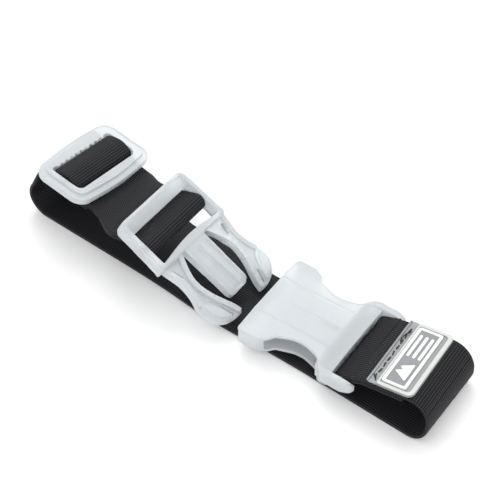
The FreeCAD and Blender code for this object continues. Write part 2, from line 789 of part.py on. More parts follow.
def write():
    """Checks every object and writes each piece to its own file."""
    doc.recompute()
    for obj in doc.Objects:
        failed = {"Invalid", "Error"} & set(obj.State)
        if failed:
            raise RuntimeError(f"{obj.Name}: {failed}")
    os.makedirs("parts", exist_ok=True)
    whole = FreeCAD.BoundBox()
    for piece in PIECES:
        if piece.Shape.isNull() or not piece.Shape.isValid():
            raise RuntimeError(f"{piece.Name} has no valid shape")
        piece.Label = piece.Name
        piece.Shape.exportStep(f"parts/{piece.Label}.step")
        whole.add(piece.Shape.BoundBox)
    print("pieces", len(PIECES))
    print("box", whole)


write()
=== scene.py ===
import math

import bmesh
import bpy
from mathutils import Matrix, Quaternion, Vector


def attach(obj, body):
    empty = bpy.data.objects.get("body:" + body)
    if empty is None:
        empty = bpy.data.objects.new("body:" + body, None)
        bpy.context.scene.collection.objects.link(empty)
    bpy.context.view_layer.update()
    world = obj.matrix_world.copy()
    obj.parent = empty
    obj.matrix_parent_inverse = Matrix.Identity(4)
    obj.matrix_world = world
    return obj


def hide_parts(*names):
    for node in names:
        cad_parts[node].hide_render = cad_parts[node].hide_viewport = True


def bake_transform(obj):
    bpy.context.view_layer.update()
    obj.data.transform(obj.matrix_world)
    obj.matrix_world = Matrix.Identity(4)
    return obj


# A luggage strap: ribbed webbing in a closed loop, an adjuster slider, both halves of a buckle in
# frosted polypropylene, and a soft PVC label. Lengths are in millimetres until they are put in a
# mesh, whose unit is the metre. Each moulded piece is drawn in its own frame: x along the strap,
# y across it, and z up from its top face.

MM = 0.001
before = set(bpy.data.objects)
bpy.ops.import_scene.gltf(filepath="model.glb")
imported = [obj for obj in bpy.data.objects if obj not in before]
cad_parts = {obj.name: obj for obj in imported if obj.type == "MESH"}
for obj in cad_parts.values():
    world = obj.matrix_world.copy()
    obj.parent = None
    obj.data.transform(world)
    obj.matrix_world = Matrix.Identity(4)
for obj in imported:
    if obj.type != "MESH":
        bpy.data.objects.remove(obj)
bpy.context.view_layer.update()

# name: (x, y, z, pitch, yaw, roll), in millimetres and degrees
PLACES = {
    "surface": (0.0, 1.4, 0.0, 0.0, 0.0, 0.0),
    "slider": (-90.0, 3.0, 29.2, 10.5, 1.2, -12.2),
    "plug": (-42.8, -4.6, 36.0, 28.0, 1.7, -5.0),
    "socket": (16.5, -0.9, 13.9, 0.0, 2.8, -0.9),
    "crest": (74.5, 1.4, 16.9, -5.5, 5.7, -4.5),
}

# webbing
WIDTH, THICK, GAP = 38.0, 1.4, 0.05
RIB_PITCH = 1.1
STEP = RIB_PITCH / 4
ACROSS = 16  # faces across the webbing
RIB_DEEP, CREASE_DEEP, CREASE_WIDE = 0.12, 0.25, 0.45
EDGE_ROUND = 0.7
CREASES = (232.0, 243.5, 249.0)  # along the loop, where the webbing has been folded
RUN_START, RUN_END = -95.2, 94.6
BOW, BOW_AT, BOW_REACH, PULL = 1.7, 2.0, 24.0, 2.0
LEFT_OUT, LEFT_RISE, RIGHT_OUT, FOLD, RIGHT_FOLDS = -103.7, 12.5, 103.7, 8.8, (6.5, 9.2)
SLIDER_LOW = -5.4
SLIDER_LOWER = SLIDER_LOW - THICK - GAP
SLIDER_LOWEST = SLIDER_LOWER - THICK - GAP
BAR_X, BAR_Z = 8.2, -4.2
LOOP_X, LOOP_TILT = 49.6, math.radians(25)
SOCKET_BAR, SOCKET_BAR_WRAP = (46.8, -6.0), 2.75
SOCKET_BOTTOM, EAR_BOTTOM, SOCKET_WALL = -11.0, -8.2, 1.8
LEVEL = -THICK / 2
LEVEL_START, LEVEL_END, TAIL_END, TAIL_DROP = -0.8, 18.6, 16.0, 1.75

# label
LABEL_LENGTH, LABEL_NEAR, LABEL_FAR, HEM = 20.0, 18.7, 19.5, 4.2
BAR_WIDTH, STITCH_PITCH, STITCH_LINE = 1.1, 3.6, 2.5


# ---- frames and outlines ------------------------------------------------------------------------


def turned(yaw, pitch, roll):
    """A rotation from degrees: roll about x, then pitch about y, then yaw about z."""
    turns = ((yaw, (0, 0, 1)), (pitch, (0, 1, 0)), (roll, (1, 0, 0)))
    yawed, pitched, rolled = (Quaternion(axis, math.radians(angle)) for angle, axis in turns)
    return yawed @ pitched @ rolled


def place(part):
    """The matrix from a piece's own millimetres to the metres of the whole object."""
    x, y, z, pitch, yaw, roll = PLACES[part]
    put = Matrix.Translation((x, y, z)) @ turned(yaw, pitch, roll).to_matrix().to_4x4()
    return Matrix.Scale(MM, 4) @ put


def side_view(part, x, z):
    """A point of a piece's own side view, in the side view of the whole strap."""
    base_x, _, base_z, pitch, _, _ = PLACES[part]
    cos, sin = math.cos(math.radians(pitch)), math.sin(math.radians(pitch))
    return base_x + x * cos + z * sin, base_z + z * cos - x * sin


def smooth(share):
    """Goes from 0 to 1 with no corner at either end."""
    share = min(1.0, max(0.0, share))
    return share * share * (3 - 2 * share)


def bend(before, corner, after, radius):
    """The start, end, centre and side of the arc that rounds a corner."""
    back, ahead = (before - corner).normalized(), (after - corner).normalized()
    half = back.angle(ahead) / 2
    reach = radius / math.tan(half)
    centre = corner + (back + ahead).normalized() * (radius / math.sin(half))
    left = (corner - before).cross(after - corner) > 0
    return corner + back * reach, corner + ahead * reach, centre, left


def sweep(first, last, centre, left, spacing):
    """Points on the arc from first to last round centre."""
    start, end = (math.atan2(p.y - centre.y, p.x - centre.x) for p in (first, last))
    turn = (end - start) % math.tau if left else -((start - end) % math.tau)
    radius = (first - centre).length
    count = max(2, math.ceil(abs(turn) * radius / spacing))
    angles = [start + turn * i / count for i in range(count + 1)]
    return [centre + Vector((math.cos(a), math.sin(a))) * radius for a in angles]


def outline(*corners, side=1):
    """A closed outline with rounded corners: (x, y, radius), or (x, y) for as round as fits."""
    points = [Vector((c[0], c[1] * side)) for c in corners]
    line = []
    for i, corner in enumerate(corners):
        before, point, after = points[i - 1], points[i], points[(i + 1) % len(points)]
        if len(corner) > 2:
            radius = corner[2]
        else:
            turn = (point - before).angle(after - point)
            reach = 0.45 * min((point - before).length, (after - point).length)
            radius = reach / math.tan(turn / 2)
        if radius:
            first, last, centre, left = bend(before, point, after, radius)
            line += sweep(first, last, centre, left, 0.5)
        else:
            line.append(point)
    return line


def strip(points, width, side=1):
    """The outline of a strip of this width along a smooth line through points."""
    line = [Vector((x, y * side)) for x, y in points]
    dense = []
    for i in range(len(line) - 1):
        a, b = line[max(i - 1, 0)], line[i]
        c, d = line[i + 1], line[min(i + 2, len(line) - 1)]
        for k in range(8):
            t = k / 8
            squared, cubed = 2 * a - 5 * b + 4 * c - d, 3 * b - a - 3 * c + d
            dense.append(0.5 * ((2 * b) + (c - a) * t + squared * t * t + cubed * t**3))
    dense.append(line[-1])
    edges = [[], []]
    for i, point in enumerate(dense):
        run = (dense[min(i + 1, len(dense) - 1)] - dense[max(i - 1, 0)]).normalized()
        off = Vector((-run.y, run.x)) * width / 2
        edges[0].append(point + off)
        edges[1].append(point - off)
    return edges[0] + edges[1][::-1]


def side_line(posts):
    """A centreline in a side view: straight stretches joined by arcs. A post is (x, z) at an end,
    (x, z, radius) at a bend, and (x, z, radius, left) at a bar that the webbing turns round."""
    points = [Vector(post[:2]) for post in posts]
    meets, leaves = list(points), list(points)
    for i, post in enumerate(posts):
        if len(post) == 4:
            side = 1 if post[3] else -1
            for ends, other, sign in ((meets, points[i - 1], side), (leaves, points[i + 1], -side)):
                away = other - points[i]
                angle = math.atan2(away.y, away.x) + sign * math.acos(post[2] / away.length)
                ends[i] = points[i] + Vector((math.cos(angle), math.sin(angle))) * post[2]
    line = [points[0]]
    for i in range(1, len(posts)):
        if len(posts[i]) == 4:
            line += sweep(meets[i], leaves[i], points[i], posts[i][3], 0.3)
        elif len(posts[i]) == 3:
            arc = bend(leaves[i - 1], points[i], meets[i + 1], posts[i][2])
            line += sweep(*arc, 0.3)
        else:
            line.append(points[i])
    return line


def evenly(line, step):
    """Points every step along a line of vectors, and the first and last."""
    lengths = [0.0]
    for a, b in zip(line, line[1:]):
        lengths.append(lengths[-1] + (b - a).length)
    count = max(1, round(lengths[-1] / step))
    found, at = [], 0
    for i in range(count + 1):
        want = lengths[-1] * i / count
        while at < len(line) - 2 and lengths[at + 1] < want:
            at += 1
        part = lengths[at + 1] - lengths[at]
        share = (want - lengths[at]) / part if part > 1e-9 else 0.0
        found.append(line[at].lerp(line[at + 1], min(1.0, share)))
    return found


# ---- webbing ------------------------------------------------------------------------------------


def leg(first, last, *posts):
    """Centres and sides of webbing along a side view: a piece's own where first and last are the
    same, or the whole strap's, with the webbing twisting from one frame to the other."""
    line = evenly(side_line(posts), 0.5)
    x, y, z, pitch, yaw, roll = PLACES[first]
    if first == last:
        base, turn = Vector((x, y, z)), turned(yaw, pitch, roll)
        side = turn @ Vector((0, 1, 0))
        return [(base + turn @ Vector((p.x, 0, p.y)), side) for p in line]
    ends = []
    for part in (first, last):
        x, y, z, pitch, yaw, roll = PLACES[part]
        turn = turned(yaw, pitch, roll) @ Quaternion((0, 1, 0), math.radians(-pitch))
        ends.append((Vector((x, y, z)), Vector((x, 0, z)), turn))
    found = []
    for i, point in enumerate(line):
        share = smooth(i / (len(line) - 1))
        here = Vector((point.x, 0, point.y))
        starts, arrives = (base + turn @ (here - flat) for base, flat, turn in ends)
        side = ends[0][2].slerp(ends[1][2], share) @ Vector((0, 1, 0))
        found.append((starts.lerp(arrives, share), side))
    return found


def bowed(spots):
    """The flat run bows sideways a little under the buckle, where its far edge is drawn in."""
    found = []
    for centre, side in spots:
        away = (centre.x - BOW_AT) / BOW_REACH
        pull = PULL * smooth((centre.x + 52) / 14) * smooth((42 - centre.x) / 16)
        shift = BOW * math.exp(-away * away) + pull / 2
        found.append((centre - Vector((0, shift, 0)), side * (1 - pull / WIDTH)))
    return found


def webbing(name, legs, outward, creases=()):
    """A stretch of webbing: a flat band whose outer face has a rib across it every RIB_PITCH and
    whose inner face is plain, carried onto the centreline of its legs. Outward is 1 where the
    outer face is on the left of the way that the legs run, and -1 on the right."""
    spots = [spot for part in legs for spot in part]
    kept = [spots[0]]
    for spot in spots[1:]:
        if (spot[0] - kept[-1][0]).length > 0.05:
            kept.append(spot)
    lengths = [0.0]
    for a, b in zip(kept, kept[1:]):
        lengths.append(lengths[-1] + (b[0] - a[0]).length)
    count = round(lengths[-1] / STEP)
    centres, sides, at = [], [], 0
    for i in range(count + 1):
        want = lengths[-1] * i / count
        while at < len(kept) - 2 and lengths[at + 1] < want:
            at += 1
        share = (want - lengths[at]) / (lengths[at + 1] - lengths[at])
        centres.append(kept[at][0].lerp(kept[at + 1][0], share))
        sides.append(kept[at][1].lerp(kept[at + 1][1], share))
    for _ in range(6):  # rounds off the places where one leg meets the next
        middles = [(a + 2 * b + c) / 4 for a, b, c in zip(centres, centres[1:], centres[2:])]
        centres = [centres[0], *middles, centres[-1]]
    bm = bmesh.new()
    bmesh.ops.create_grid(bm, x_segments=count, y_segments=ACROSS, size=0.5)
    bmesh.ops.solidify(bm, geom=bm.faces[:], thickness=0.1)
    middle = sum(v.co.z for v in bm.verts) / len(bm.verts)
    outer = bm.verts.layers.float.new("outer")
    flat = {}
    for v in bm.verts:
        i = min(count, max(0, round((v.co.x + 0.5) * count)))
        across = WIDTH / 2 * math.sin(v.co.y * math.pi)
        face = 1 if v.co.z > middle else -1
        edge = max(0.0, abs(across) - WIDTH / 2 + EDGE_ROUND) / EDGE_ROUND
        height = THICK / 2 * max(0.35, math.sqrt(1 - min(1, edge * edge)))
        along = i * lengths[-1] / count
        v[outer] = 1.0 if face > 0 else 0.0
        if face > 0:
            rib = 0.5 - 0.5 * math.cos(math.tau * along / RIB_PITCH)
            folds = [math.exp(-(((along - c) / CREASE_WIDE) ** 2)) for c in creases]
            fold = max(folds, default=0.0)
            height -= (RIB_DEEP * rib + CREASE_DEEP * fold) * (1 - smooth(edge))
        ahead = centres[min(i + 1, count)] - centres[max(i - 1, 0)]
        up = ahead.cross(sides[i]).normalized() * outward
        flat[v] = (along, across)
        v.co = (centres[i] + sides[i] * across + up * (face * height)) * MM
    weave = bm.loops.layers.uv.new("weave")
    for face in bm.faces:
        face.smooth = True
        for loop in face.loops:
            loop[weave].uv = flat[loop.vert]
    bmesh.ops.recalc_face_normals(bm, faces=bm.faces)
    return finished(name, bm)


def finished(name, bm):
    """An object of this mesh at the origin."""
    mesh = bpy.data.meshes.new(name)
    bm.to_mesh(mesh)
    bm.free()
    made = bpy.data.objects.new(name, mesh)
    bpy.context.scene.collection.objects.link(made)
    return made


def strap():
    """The webbing in four stretches, which part where they are hidden or where the slider moves."""
    entry_x, entry_z = side_view("slider", -2.7, SLIDER_LOW)
    turn_x, turn_z = side_view("slider", -5.6, SLIDER_LOW)
    lean_x, lean_z = LEFT_OUT - 0.3, LEFT_RISE
    parted = 0.7 * lean_x + 0.3 * turn_x, 0.7 * lean_z + 0.3 * turn_z
    lean = lean_x, lean_z, 12
    top = side_view("crest", LEVEL_END, LEVEL)
    shoulder = top[1] + (RIGHT_OUT - top[0]) * math.tan(math.radians(-PLACES["crest"][3]))
    mid = THICK / 2
    low_fold, high_fold = (RIGHT_OUT, mid, RIGHT_FOLDS[0]), (RIGHT_OUT, shoulder, RIGHT_FOLDS[1])
    ahead = Vector((math.cos(LOOP_TILT), math.sin(LOOP_TILT)))
    up = Vector((-ahead.y, ahead.x))
    rise = (SOCKET_BAR_WRAP + (LOOP_X - SOCKET_BAR[0]) * ahead.y) / ahead.x + SOCKET_BAR[1]
    upper = Vector((LOOP_X, rise))
    lower = upper - up * (THICK + GAP)
    low_bend = lower - ahead * 1.2
    round_bar = (*SOCKET_BAR, SOCKET_BAR_WRAP, True)
    reach = 3.0

    def rising(leave, drop):
        corner = leave + ahead * reach
        start, turn = side_view("socket", *leave), side_view("socket", *corner)
        before = side_view("crest", LEVEL_START - reach, LEVEL - drop)
        arrive = side_view("crest", LEVEL_START, LEVEL - drop)
        return [start, (*turn, 8 - drop), (*before, 8 - drop), arrive]

    loop = webbing(
        "webbing_loop",
        [
            leg("surface", "surface", parted, lean, (LEFT_OUT, mid, FOLD), (RUN_START, mid)),
            bowed(leg("surface", "surface", (RUN_START, mid), (RUN_END, mid))),
            leg("surface", "crest", (RUN_END, mid), low_fold, high_fold, top),
            leg("crest", "crest", (LEVEL_END, LEVEL), (LEVEL_START, LEVEL)),
            leg("crest", "socket", *rising(upper, 0)[::-1]),
            leg("socket", "socket", tuple(upper), round_bar, (*low_bend, 2), tuple(lower)),
            leg("socket", "crest", *rising(lower, TAIL_DROP)),
            leg("crest", "crest", (LEVEL_START, LEVEL - TAIL_DROP), (TAIL_END, LEVEL - TAIL_DROP)),
        ],
        -1,
        CREASES,
    )
    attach(loop, "strap")
    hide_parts("webbing_left_fold", "webbing_bottom_run")
    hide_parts("webbing_right_fold", "webbing_label_run")
    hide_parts("webbing_top_run", "webbing_socket_loop", "webbing_tail", "webbing_tail_end")

    rises = [(1.0, SLIDER_LOW, 0.7), (1.4, -0.8, 0.9), (BAR_X, 1.3, 9)]
    rises += [(14.1, -1.1, 2.0), (14.9, SLIDER_LOW, 0.9)]
    through = webbing(
        "webbing_through_slider",
        [
            leg("surface", "slider", parted, (turn_x, turn_z, 2.5), (entry_x, entry_z)),
            leg("slider", "slider", (-2.7, SLIDER_LOW), *rises, (21.0, SLIDER_LOW)),
        ],
        1,
    )
    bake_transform(through)
    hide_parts("webbing_lead_in", "webbing_slider_loop")

    upper_end, upper_turn = (0.2, -12.0), (6.4, -6.9)
    lower_end, lower_turn = (1.2, -13.2), (8.0, -7.6)
    upper_bend, lower_bend = (*upper_turn, 4), (*lower_turn, 4)
    round_ladder = (14.8, -3.4, 3.3, False)
    legs = []
    layers = ((upper_end, upper_turn, 0), (lower_end, lower_turn, THICK + GAP))
    for leg_end, turn, drop in layers:
        slope = math.atan2(turn[1] - leg_end[1], turn[0] - leg_end[0])
        near = side_view("slider", 22.7, SLIDER_LOW - drop)
        far = side_view("slider", 22.7 + reach + drop / 4, SLIDER_LOW - drop)
        run = Vector((math.cos(slope), math.sin(slope)))
        back, meet = (side_view("plug", *(Vector(leg_end) - run * r)) for r in (reach, 0.1))
        legs.append([near, (*far, 8 + drop), (*back, 8 - drop), meet])
    to_plug = webbing(
        "webbing_to_plug",
        [
            leg("slider", "slider", (16.8, SLIDER_LOW - 0.04), (22.7, SLIDER_LOW)),
            leg("slider", "plug", *legs[0]),
            leg("plug", "plug", upper_end, upper_bend, round_ladder, lower_bend, lower_end),
            leg("plug", "slider", *legs[1][::-1]),
        ],
        1,
    )
    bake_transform(to_plug)
    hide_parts("webbing_upper_run", "webbing_plug_loop", "webbing_lower_run")

    anchor = webbing(
        "webbing_anchor",
        [
            leg(
                "slider",
                "slider",
                (22.6, SLIDER_LOWER),
                (14.1, SLIDER_LOWER, 1.5),
                (BAR_X, BAR_Z, 2.35, True),
                (14.0, SLIDER_LOWEST, 4),
                (21.0, SLIDER_LOWEST),
            )
        ],
        -1,
    )
    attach(anchor, "slider")
    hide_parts("webbing_anchor_loop")
    return [loop, through, to_plug, anchor]


# ---- moulded pieces -----------------------------------------------------------------------------


def flat_mesh(outlines, low, high, edge=0.0):
    """A flat plate between two heights: the first outline is its edge, the others are holes. With
    an edge, the outlines are drawn that far inside the plate's own, and its edges are round."""
    curve = bpy.data.curves.new("plate", "CURVE")
    curve.dimensions, curve.fill_mode = "2D", "BOTH"
    curve.extrude, curve.bevel_depth, curve.bevel_resolution = (high - low) / 2 - edge, edge, 3
    for line in outlines:
        spline = curve.splines.new("POLY")
        spline.points.add(len(line) - 1)
        for point, corner in zip(spline.points, line):
            point.co = (corner.x, corner.y, 0, 1)
        spline.use_cyclic_u = True
    mesh = curve_mesh(curve)
    mesh.transform(Matrix.Translation((0, 0, (low + high) / 2)))
    return mesh


def curve_mesh(curve):
    """The mesh of a curve."""
    held = bpy.data.objects.new(curve.name, curve)
    bpy.context.scene.collection.objects.link(held)
    mesh = bpy.data.meshes.new_from_object(held)
    bpy.data.objects.remove(held)
    return mesh


def rod(radius, half, x, z):
    """A round bar across the strap."""
    bm = bmesh.new()
    bmesh.ops.create_cone(
        bm, cap_ends=True, segments=32, radius1=radius, radius2=radius, depth=2 * half,
        matrix=Matrix.Translation((x, 0, z)) @ Matrix.Rotation(math.pi / 2, 4, "X"),
    )
    mesh = bpy.data.meshes.new("rod")
    bm.to_mesh(mesh)
    bm.free()
    return mesh


def moulded(name, part, shapes, voxel, soften, shaped=None):
    """One moulding: its plates and rods run together and their edges softened, then shaped point
    by point in the piece's own frame."""
    bm = bmesh.new()
    for mesh in shapes:
        bm.from_mesh(mesh)
    made = finished(name, bm)
    remesh = made.modifiers.new("union", "REMESH")
    remesh.mode, remesh.voxel_size = "VOXEL", voxel
    rounding = made.modifiers.new("rounding", "SMOOTH")
    rounding.factor, rounding.iterations = 0.5, soften
    bpy.context.view_layer.update()
    evaluated = made.evaluated_get(bpy.context.evaluated_depsgraph_get())
    mesh = bpy.data.meshes.new_from_object(evaluated)
    made.modifiers.clear()
    made.data = mesh
    mesh.name = name
    if shaped:
        for vertex in mesh.vertices:
            vertex.co = shaped(vertex.co.copy())
    mesh.transform(place(part))
    mesh.polygons.foreach_set("use_smooth", [True] * len(mesh.polygons))
    return made


def slider():
    """A flat buckle with one wide opening: its rim slopes away outside, and its back edge has teeth
    that grip the webbing."""
    rims = []
    for inset in (0.0, 2.6):
        back, front, half = -5.0 + inset, 21.6 - inset, 24.8 - inset
        corner = 6.6 - inset
        rims.append(
            outline(
                (back, -half, corner),
                (front, -half, corner),
                (front + 2.2, 0),
                (front, half + 0.8, corner),
                (back - 1.2, half + 0.8, corner),
                (back - 2.2, 2),
            )
        )
    teeth, count, row = [], 10, 16.5
    for i in range(count):
        start = row - i * 2 * row / count
        teeth += [(-0.1, start, 0), (1.15, start - row / count, 0)]
    corners = [(0, -19.4, 1.2), (16.4, -19.4, 2.8), (16.4, 19.4, 3.4), (0, 19.4, 1.8)]
    window = outline(*corners, *teeth, (-0.1, -row, 0))
    shapes = [
        flat_mesh([rims[0], window], -4.0, -1.1),
        flat_mesh([rims[1], window], -4.0, 0.0),
        rod(1.6, 21.2, BAR_X, BAR_Z),
    ]
    made = moulded("slider_buckle", "slider", shapes, 0.25, 5)
    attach(made, "slider")
    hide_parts("slider_frame")
    return made


def plug():
    """The plug's frame with the ladder bar and the tongue. The back bar falls to the webbing
    between the rails, and the tongue has a channel down its middle."""
    edge = outline((0, -22.0, 4), (26.5, -22.9, 1.0), (26.5, 22.9, 1.0), (0, 22.0, 4))
    crown = outline((1.0, -21.0, 3.4), (25.9, -21.9, 0.8), (25.9, 21.9, 0.8), (1.0, 21.0, 3.4))
    back, front = (6.8, 19.5, 1), (24.4, 19.5, 0.8)
    window = outline(back, (6.8, -19.5, 1), (24.4, -19.5, 0.8), (21.9, 0), front)
    front_bar = outline(
        (24.5, -22.6, 0.5), (26.4, -22.7, 0.5), (26.4, 22.7, 0.5), (24.5, 22.6, 0.5)
    )
    rails = [
        outline((0, y * 19.4, 0.2), (26.4, y * 19.4, 0.2), (26.4, y * 22.4, 1), (2.0, y * 21.6, 2))
        for y in (1, -1)
    ]
    tongue = outline((23.5, -6.9, 0), (54, -6.3, 2.4), (54, 6.3, 2.4), (23.5, 6.9, 0))
    shapes = [
        flat_mesh([edge, window], -5.0, -0.7),
        flat_mesh([crown, window], -5.0, 0.0),
        flat_mesh([front_bar], -6.2, -3),
        *(flat_mesh([rail], -6.2, -3) for rail in rails),
        flat_mesh([tongue], -4.9, -0.7),
        rod(2.0, 20.5, 14.6, -3.4),
    ]

    def shaped(co):
        inner = 1 - smooth((abs(co.y) - 18.7) / 0.8)
        if -0.5 < co.x < 7.6 and co.z > -5.2:
            fall = smooth((co.x - 0.8) / 7.0) * 3.4 * inner
            co.z = -5.0 + (co.z + 5.0) * (5.0 - fall) / 5.0
        if co.x > 27 and co.z > -2.4:
            channel = (1 - smooth((abs(co.y) - 1.5) / 0.6)) * smooth((co.x - 28) / 4)
            channel *= smooth((53.2 - co.x) / 1.0)
            side = smooth((abs(co.y) - 3.2) / 2.2) * (1 - smooth((abs(co.y) - 5.6) / 0.4))
            tip = smooth((co.x - 50.5) / 3.5)
            co.z -= 1.3 * channel + 0.7 * side * smooth((co.x - 28) / 3) + 0.9 * tip
        return co

    made = moulded("plug_buckle_half", "plug", shapes, 0.3, 4, shaped)
    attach(made, "plug")
    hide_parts("plug_frame")
    return made


# the left arm, drawn where y is positive; the right arm is its mirror image
ARM_EDGE = [
    (26.2, 8.8, 0.3),
    (33.5, 12.2),
    (39.5, 13.6),
    (46.5, 12.4),
    (52.5, 9.9),
    (57.0, 8.0),
    (61.2, 7.2, 0.8),
    (61.4, 11.0),
    (60.4, 16.2),
    (57.4, 20.6),
    (52.4, 23.0),
    (47.4, 22.8),
    (43.0, 20.6),
    (36.0, 19.6),
    (26.2, 21.6, 0.3),
]
ARM_ROOT_SLOT = [(28.85, 17.6, 0.3), (34.0, 16.2, 0.3), (34.0, 17.2, 0.3), (28.85, 19.2, 0.3)]
ARM_HEAD_SLOT = [(53.4, 13.2, 0.4), (59.2, 11.2, 0.4), (59.5, 12.2, 0.4), (53.8, 14.3, 0.4)]
ARM_BLADE = [(26.2, 10.0), (33.2, 13.5), (39.5, 15.0), (46.8, 13.8)]
ARM_BLADE += [(53.0, 11.3), (57.4, 9.4), (60.4, 8.7)]
ARM_RAIL = [(26.2, 20.4), (32.0, 19.3), (36.0, 18.5), (43.0, 19.4), (47.0, 21.0)]
ARM_HEAD = [(46.5, 21.4), (48.5, 17.4), (52.4, 15.2), (59.6, 12.8, 0.8)]
ARM_HEAD += [(60.0, 15.8), (57.0, 19.9), (52.3, 22.3)]
ARM_CROWN = [(47.9, 20.6), (49.5, 18.0), (53.0, 16.2), (58.6, 14.3, 0.8)]
ARM_CROWN += [(58.8, 15.8), (56.2, 19.0), (52.3, 21.0)]
ARM_LOW, ARM_WEB, ARM_TOP, RIB_SPACING = -4.7, -2.3, -0.9, 1.5


def arm(name, body, side):
    """A latch arm: a thin web between a ribbed inner blade and an outer rail, and a thick rounded
    head with a slot behind its nose."""
    edge = outline(*ARM_EDGE, side=side)
    root_slot = outline(*ARM_ROOT_SLOT, side=side)
    head_slot = outline(*ARM_HEAD_SLOT, side=side)
    shapes = [
        flat_mesh([edge, root_slot, head_slot], ARM_LOW, ARM_WEB),
        flat_mesh([strip(ARM_BLADE, 2.6, side)], ARM_LOW, ARM_TOP),
        flat_mesh([strip(ARM_RAIL, 2.2, side)], ARM_LOW, ARM_TOP),
        flat_mesh([outline(*ARM_HEAD, side=side)], ARM_LOW, ARM_TOP),
        flat_mesh([outline(*ARM_CROWN, side=side)], -5.2, -0.2),
    ]
    inner = [Vector(point) for point in ARM_BLADE]

    def shaped(co):
        if co.z > -2.0 and 33 < co.x < 59:
            i = max(k for k in range(len(inner) - 1) if inner[k].x <= co.x)
            share = (co.x - inner[i].x) / (inner[i + 1].x - inner[i].x)
            middle = inner[i].y + (inner[i + 1].y - inner[i].y) * share
            on_blade = 1 - smooth((abs(abs(co.y) - middle) - 0.7) / 0.6)
            co.z -= 0.3 * on_blade * (0.5 - 0.5 * math.cos(math.tau * co.x / RIB_SPACING))
        return co

    made = moulded(name + "_moulding", "plug", shapes, 0.25, 4, shaped)
    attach(made, body)
    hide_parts(name)
    return made


def socket():
    """A flat box, open at the mouth and at both sides, with two rounded ears and a bar between.
    Its top is level down the middle and falls away to both sides."""
    side_plan = [(0, 22.9, 1.4), (9.5, 22.9, 3), (13.5, 20.4, 1), (15.6, 17.4, 1.2)]
    side_plan += [(25.5, 13.6), (35.0, 16.6, 6), (39.0, 22.8, 5), (43.6, 22.8, 0.5)]
    mirrored = [(p[0], -p[1], *p[2:]) for p in reversed(side_plan)]
    plan = outline(*side_plan, *mirrored)
    ear_plan = [(38.0, 19.4, 0.2), (38.4, 22.6, 3), (49.5, 22.9, 4), (54.6, 21.6, 2.6)]
    ear_plan += [(54.6, 19.4, 0.4)]
    wall_plan = [(0.3, 20.6, 0.3), (0.3, 22.7, 1), (9.5, 22.7, 2.5), (13.2, 20.6, 0.3)]
    ears = [outline(*ear_plan, side=side) for side in (1, -1)]
    walls = [outline(*wall_plan, side=side) for side in (1, -1)]
    rear = outline((35.8, -19.6, 0.3), (42.9, -19.6, 0.3), (42.9, 19.6, 0.3), (35.8, 19.6, 0.3))
    spine = outline((27.6, -1.3, 0.2), (37, -1.3, 0.2), (37, 1.3, 0.2), (27.6, 1.3, 0.2))
    inside = SOCKET_BOTTOM + 0.5, -0.5
    shapes = [
        flat_mesh([plan], -SOCKET_WALL, 0.0),
        flat_mesh([plan], SOCKET_BOTTOM, SOCKET_BOTTOM + SOCKET_WALL),
        *(flat_mesh([wall], *inside) for wall in walls),
        *(flat_mesh([ear], EAR_BOTTOM, -0.1) for ear in ears),
        flat_mesh([rear], *inside),
        flat_mesh([spine], *inside),
        rod(2.0, 20.4, *SOCKET_BAR),
    ]

    def shaped(co):
        middle = SOCKET_BOTTOM / 2
        toward = -1 if co.z > middle else 1
        near = min(1.0, abs(co.z - middle) / -middle)
        slope = (0.07 if co.z > middle else 0.14) * max(0.0, abs(co.y) - 10.0)
        lines = max(0.0, 1 - abs(abs(co.y) - 10.0) / 0.55) * smooth((37 - co.x) / 2)
        centre = max(0.0, 1 - abs(co.y) / 0.5) * smooth((co.x - 9.6) / 2)
        centre *= smooth((35.5 - co.x) / 2)
        if near > 0.95:
            co.z -= toward * (0.28 * lines + 0.2 * centre)
        co.z += toward * slope * near
        back = smooth((co.x - 36.0) / 8.0) * 1.1
        co.z += toward * back * near * (1 - smooth((abs(co.y) - 18.5) / 1.5))
        if co.z < middle:
            # the box is shallower toward the ears
            lift = smooth((co.x - 34.0) / 9.0) * smooth((abs(co.y) - 17.5) / 2.0)
            co.z = max(co.z, min(co.z + 2.6 * lift * near, middle))
        if co.x > 47 and abs(co.y) > 18.5:
            # the ears are round at the back, and fuller above than below
            rear = (co.x - 47.0) / 8.6
            co.z = -3.2 + (co.z + 3.2) * math.sqrt(max(0.2, 1 - rear * rear))
        return co

    made = moulded("socket_buckle_half", "socket", shapes, 0.34, 4, shaped)
    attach(made, "socket")
    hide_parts("socket_shell")
    return made


# ---- label --------------------------------------------------------------------------------------


def soft_plate(name, outlines, low, high, edge):
    """A flat plate of the label, with round edges."""
    mesh = flat_mesh(outlines, low, high, edge)
    mesh.transform(place("crest"))
    bm = bmesh.new()
    bm.from_mesh(mesh)
    bmesh.ops.remove_doubles(bm, verts=bm.verts, dist=1e-6)
    bmesh.ops.recalc_face_normals(bm, faces=bm.faces)
    made = finished(name, bm)
    made.data.polygons.foreach_set("use_smooth", [False] * len(made.data.polygons))
    return made


